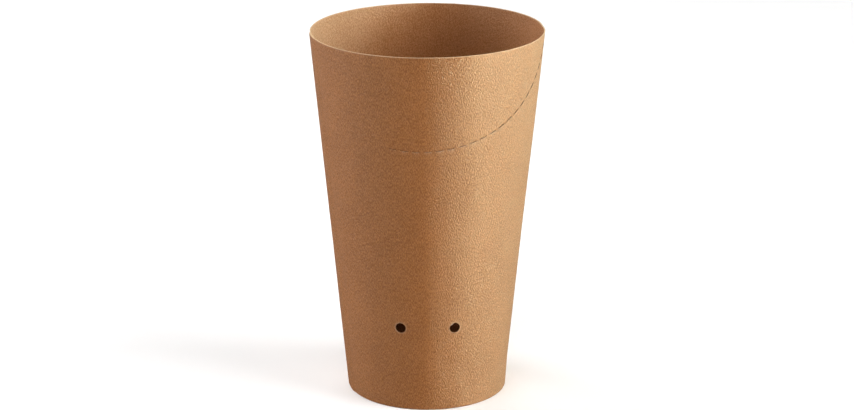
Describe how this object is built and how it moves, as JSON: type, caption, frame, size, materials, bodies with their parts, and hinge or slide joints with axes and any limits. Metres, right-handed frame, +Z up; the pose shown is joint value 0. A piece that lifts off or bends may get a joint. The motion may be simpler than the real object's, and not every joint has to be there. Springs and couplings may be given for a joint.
{
  "type": "paper snack cup",
  "caption": "Tall tapered kraft paper cup with a plain cut rim, vent holes low on the front and a curved perforated tear line below the rim.",
  "frame": {"origin": "middle of the foot, on the surface that the cup stands on", "axes": "+Z up along the cup's axis, -Y out of the front with the vent holes, the glued side lap towards -X"},
  "size_m": [0.0827, 0.0826, 0.1323],
  "materials": {
    "wall_board": "matte",
    "base_board": "matte"
  },
  "bodies": {
    "root": {"side_wall": "wall_board", "base": "base_board"}
  },
  "joints": []
}
